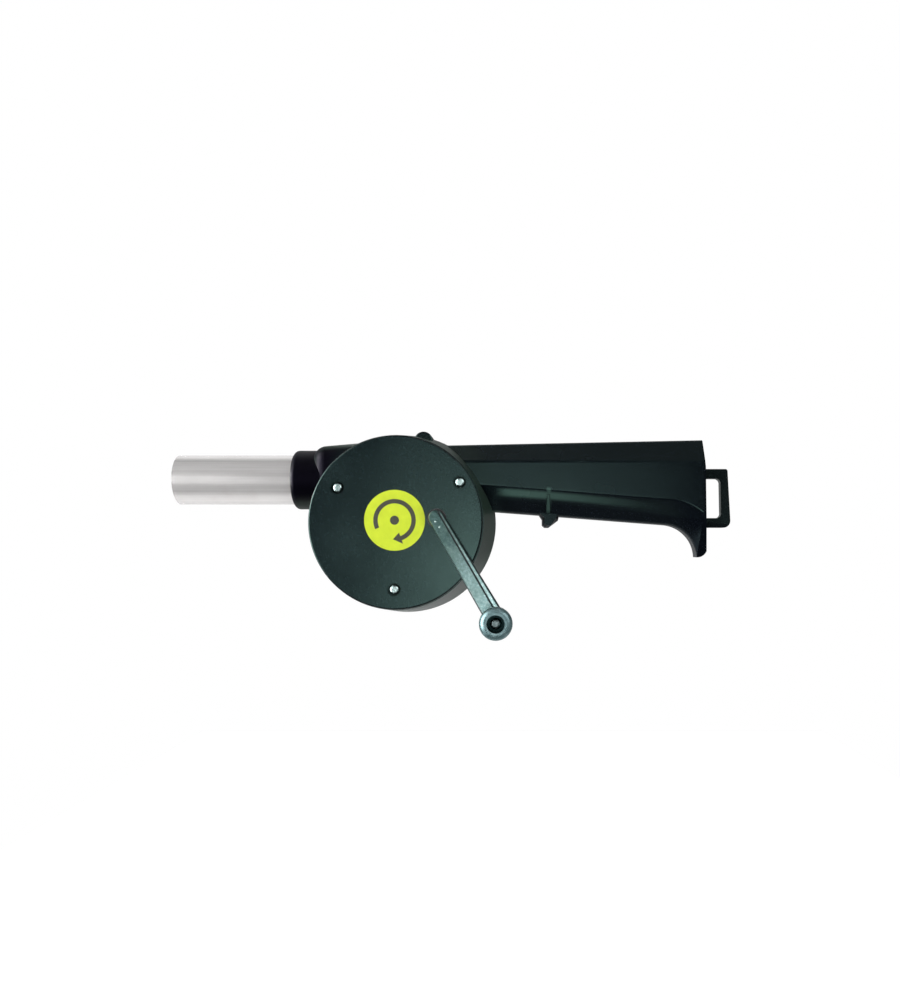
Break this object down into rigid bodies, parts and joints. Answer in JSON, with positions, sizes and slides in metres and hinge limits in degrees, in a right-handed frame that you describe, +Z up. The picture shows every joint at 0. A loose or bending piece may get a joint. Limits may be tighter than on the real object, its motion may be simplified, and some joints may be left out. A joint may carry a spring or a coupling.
{
  "type": "hand crank fan",
  "caption": "Hand-cranked air blower: round geared casing with a fan wheel, straight metal outlet tube, pistol-like side handle with a hanging loop, and a crank arm with a turning knob.",
  "frame": {"origin": "on the fan axis, at the flat rear face of the casing, where the back_face mount is", "axes": "+X from the outlet side towards the end of the handle, +Y out of the rear face, away from the crank, +Z up in use"},
  "size_m": [0.2692, 0.0743, 0.0948],
  "materials": {
    "front_shell": "semi-matte moulded black plastic with a fine grain",
    "rear_shell": "semi-matte moulded black plastic with a fine grain",
    "gear_cover": "semi-matte moulded black plastic with a fine grain",
    "label": "printed yellow film",
    "tube": "drawn and polished",
    "bush": "sintered bronze",
    "crank_bush": "black acetal",
    "pin_steel": "ground",
    "gear_plastic": "natural moulded nylon",
    "fan_plastic": "moulded black plastic",
    "arm": "die cast, silver grey",
    "knob": "satin silver grey plastic",
    "knob_rivet": "dark plated, domed head",
    "screw": "zinc plated"
  },
  "bodies": {
    "housing": {"front_shell": "front_shell", "rear_shell": "rear_shell", "gear_cover": "gear_cover", "cover_label": "label", "outlet_tube": "tube", "crank_bush": "crank_bush", "idler_pin": "pin_steel", "fan_bush_front": "bush", "fan_bush_rear": "bush", "cover_screw_1": "screw", "cover_screw_2": "screw", "cover_screw_3": "screw", "body_screw_1": "screw", "body_screw_2": "screw", "body_screw_3": "screw", "body_screw_4": "screw", "body_screw_5": "screw", "body_screw_6": "screw"},
    "crank": {"crank_shaft": "pin_steel", "crank_clip": "pin_steel", "drive_gear": "gear_plastic", "crank_arm": "arm", "knob_rivet": "knob_rivet"},
    "knob": {"knob": "knob"},
    "idler": {"idler_gear": "gear_plastic"},
    "impeller": {"fan_wheel": "fan_plastic", "fan_shaft": "pin_steel", "fan_pinion": "gear_plastic"}
  },
  "joints": [
    {"name": "crank_turn", "type": "hinge", "parent": "housing", "child": "crank", "pos_m": [0.0194, -0.042, 0.0017], "axis": [0, -1, 0], "continuous": true},
    {"name": "knob_spin", "type": "hinge", "parent": "crank", "child": "knob", "pos_m": [0.04725, -0.062, -0.04425], "axis": [0, -1, 0], "continuous": true},
    {"name": "idler_spin", "type": "hinge", "parent": "housing", "child": "idler", "pos_m": [0.00753, -0.034, 0.01679], "axis": [0, -1, 0], "continuous": true},
    {"name": "impeller_spin", "type": "hinge", "parent": "housing", "child": "impeller", "pos_m": [0, -0.016, 0], "axis": [0, -1, 0], "continuous": true}
  ],
  "couplings": [
    {"joint": "crank_turn", "follows": "impeller_spin", "ratio": 0.092593},
    {"joint": "idler_spin", "follows": "impeller_spin", "ratio": -0.27778}
  ]
}
